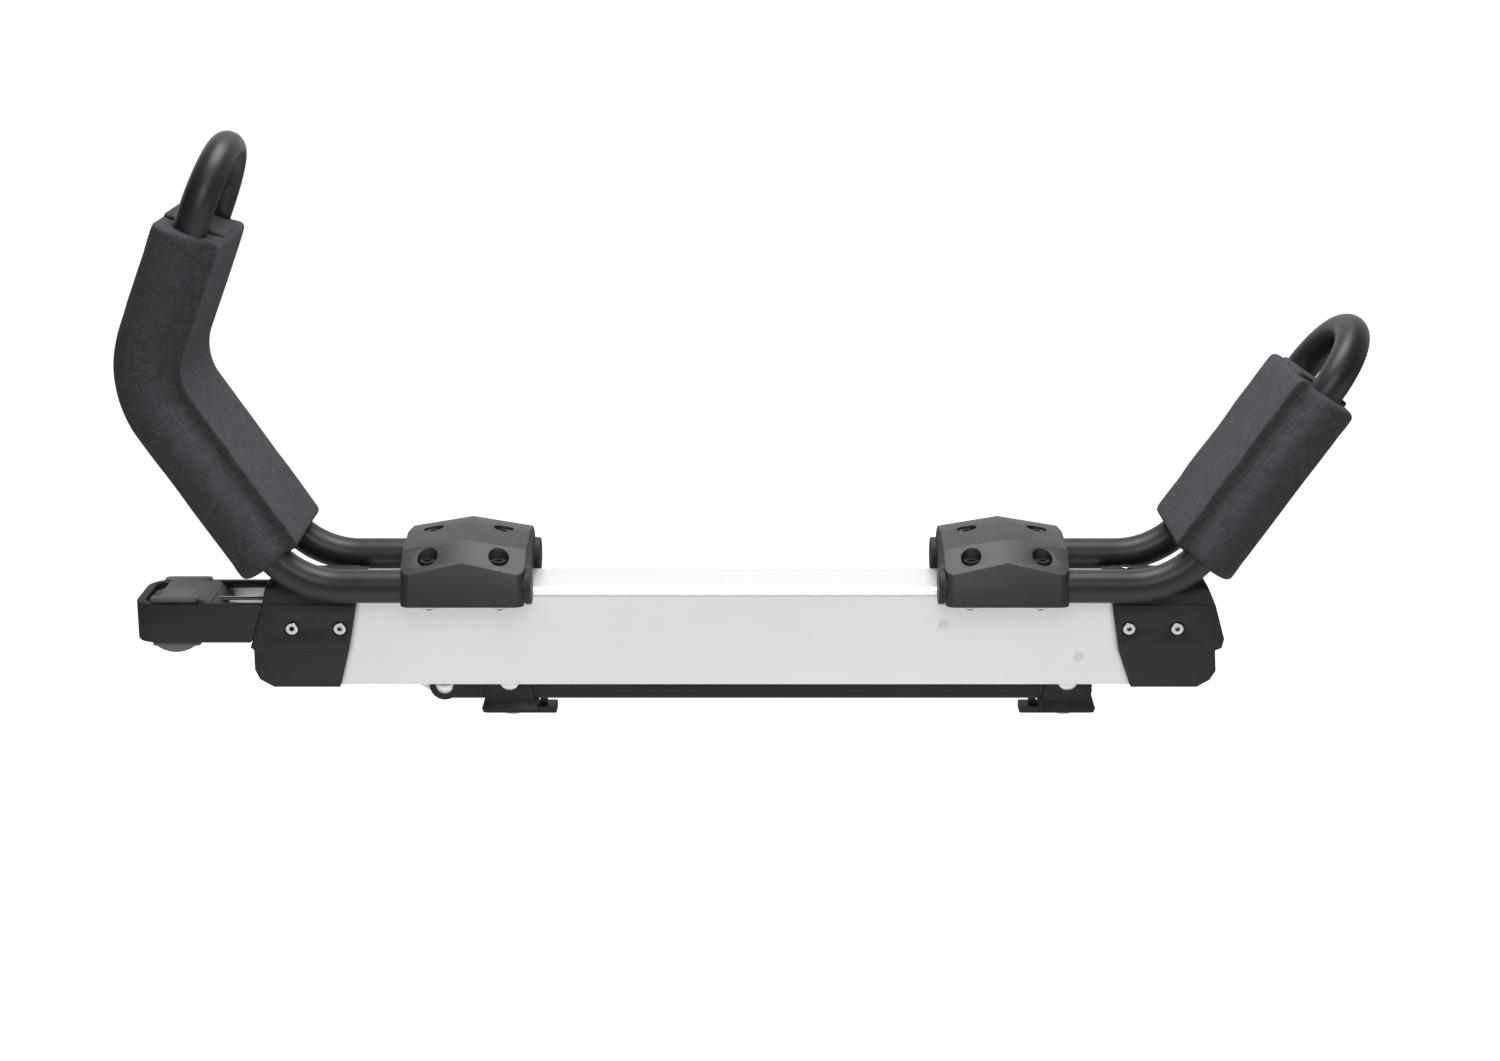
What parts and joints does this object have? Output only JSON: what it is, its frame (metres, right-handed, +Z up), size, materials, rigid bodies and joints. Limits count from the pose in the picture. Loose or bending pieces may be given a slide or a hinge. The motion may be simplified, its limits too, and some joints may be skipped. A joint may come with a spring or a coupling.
{
  "type": "kayak saddle carrier",
  "caption": "Crossbar-mounted kayak cradle: a silver beam with two padded tube saddles that slides out and swings down on a swivel carriage, with a loop handle and release trigger.",
  "frame": {"origin": "on the top face of the vehicle's crossbar, midway between the two feet", "axes": "+X along the crossbar towards the vehicle's middle, -X outboard to the handle; +Z up; Y fore and aft"},
  "size_m": [1.0289, 0.149, 0.4979],
  "materials": {
    "tube_paint": "satin black powder coat",
    "beam_anodised": "satin silver anodised extrusion",
    "strip_metal": "brushed strip",
    "moulded_black": "fine-grained moulded nylon",
    "clamp_grey": "grained charcoal moulding",
    "trigger_grey": "mid-grey moulding",
    "rail_steel": "black coated steel",
    "zinc_steel": "bright zinc-plated steel",
    "rubber_black": "moulded rubber",
    "pad_fabric": "dark slate woven nylon over foam",
    "roller_nylon": "natural nylon"
  },
  "bodies": {
    "base": {"base_rail": "rail_steel", "outboard_foot": "moulded_black", "inboard_foot": "moulded_black", "outboard_sole_pads": "rubber_black", "inboard_sole_pads": "rubber_black", "outboard_slider": "rail_steel", "inboard_slider": "rail_steel", "slider_bolts": "zinc_steel", "slider_nuts": "zinc_steel", "foot_pins": "zinc_steel", "pivot_pin": "zinc_steel", "latch_keeper": "zinc_steel"},
    "carriage": {"carriage_plates": "zinc_steel", "carriage_spacers": "zinc_steel", "carriage_axles": "zinc_steel"},
    "outer_rollers": {"outer_track_rollers": "roller_nylon"},
    "inner_rollers": {"inner_track_rollers": "roller_nylon"},
    "trigger": {"trigger": "trigger_grey", "pull_rod": "zinc_steel"},
    "latch": {"latch": "zinc_steel"},
    "support_rollers": {"support_rollers": "roller_nylon"},
    "beam": {"beam": "beam_anodised", "outboard_cap": "moulded_black", "inboard_cap": "moulded_black", "cap_rivets": "zinc_steel", "handle_grip": "moulded_black", "handle_strip": "strip_metal", "latch_axle": "zinc_steel", "support_axle": "zinc_steel", "support_collars": "zinc_steel", "outboard_saddle_tube": "tube_paint", "inboard_saddle_tube": "tube_paint", "tube_plugs": "moulded_black", "outboard_saddle_pad": "pad_fabric", "inboard_saddle_pad": "pad_fabric", "outboard_saddle_clamp": "clamp_grey", "inboard_saddle_clamp": "clamp_grey", "clamp_bolts": "rail_steel", "clamp_washers": "zinc_steel", "clamp_nuts": "zinc_steel"}
  },
  "joints": [
    {"name": "carriage_tilt", "type": "hinge", "parent": "base", "child": "carriage", "pos_m": [-0.292, 0, 0.0204], "axis": [0, -1, 0], "range_deg": [0, 72]},
    {"name": "beam_slide", "type": "slide", "parent": "carriage", "child": "beam", "axis": [-1, 0, 0], "range_m": [0, 0.34]},
    {"name": "outer_roller_spin", "type": "hinge", "parent": "carriage", "child": "outer_rollers", "pos_m": [-0.35, 0, 0.093], "axis": [0, -1, 0], "continuous": true},
    {"name": "inner_roller_spin", "type": "hinge", "parent": "carriage", "child": "inner_rollers", "pos_m": [-0.302, 0, 0.093], "axis": [0, -1, 0], "continuous": true},
    {"name": "support_roller_spin", "type": "hinge", "parent": "beam", "child": "support_rollers", "pos_m": [0.2442, 0, 0.0485], "axis": [0, -1, 0], "continuous": true},
    {"name": "trigger_squeeze", "type": "slide", "parent": "beam", "child": "trigger", "axis": [-1, 0, 0], "range_m": [0, 0.008], "stiffness_N_per_m": 1500, "springref_m": -0.003},
    {"name": "latch_turn", "type": "hinge", "parent": "beam", "child": "latch", "pos_m": [0.1296, 0, 0.077], "axis": [0, -1, 0], "range_deg": [0, 38.3]}
  ],
  "couplings": [
    {"joint": "outer_roller_spin", "follows": "beam_slide", "rad_per_m": 83.333},
    {"joint": "inner_roller_spin", "follows": "beam_slide", "rad_per_m": 83.333},
    {"joint": "support_roller_spin", "follows": "beam_slide", "rad_per_m": 98.039},
    {"joint": "latch_turn", "follows": "trigger_squeeze", "rad_per_m": 83.333}
  ]
}
